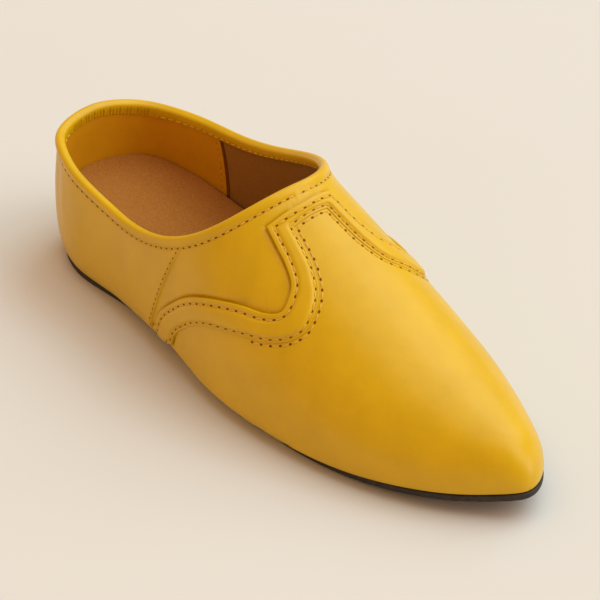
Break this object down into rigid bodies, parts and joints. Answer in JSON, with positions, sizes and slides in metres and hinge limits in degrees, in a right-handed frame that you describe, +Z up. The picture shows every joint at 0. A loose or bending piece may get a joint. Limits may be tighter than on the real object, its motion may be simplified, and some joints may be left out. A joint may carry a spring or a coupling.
{
  "type": "babouche slipper",
  "caption": "Pointed leather slipper with a low open collar, a wavy stitched band over the vamp, a cushioned insole and a thin flat sole.",
  "frame": {"origin": "under the middle of the slipper's box, on the floor", "axes": "+X from heel to toe, +Y to the inner side of the foot, +Z up"},
  "size_m": [0.2572, 0.0856, 0.0771],
  "materials": {
    "sole_rubber": "matt charcoal rubber",
    "insole_cover": "tan suede-like cover, fine nap",
    "upper_leather": "mustard yellow leather, fine grain, satin",
    "band_leather": "mustard yellow leather, fine grain, satin"
  },
  "bodies": {
    "root": {"outsole": "sole_rubber", "insole": "insole_cover", "upper": "upper_leather", "vamp_overlay": "band_leather"}
  },
  "joints": []
}
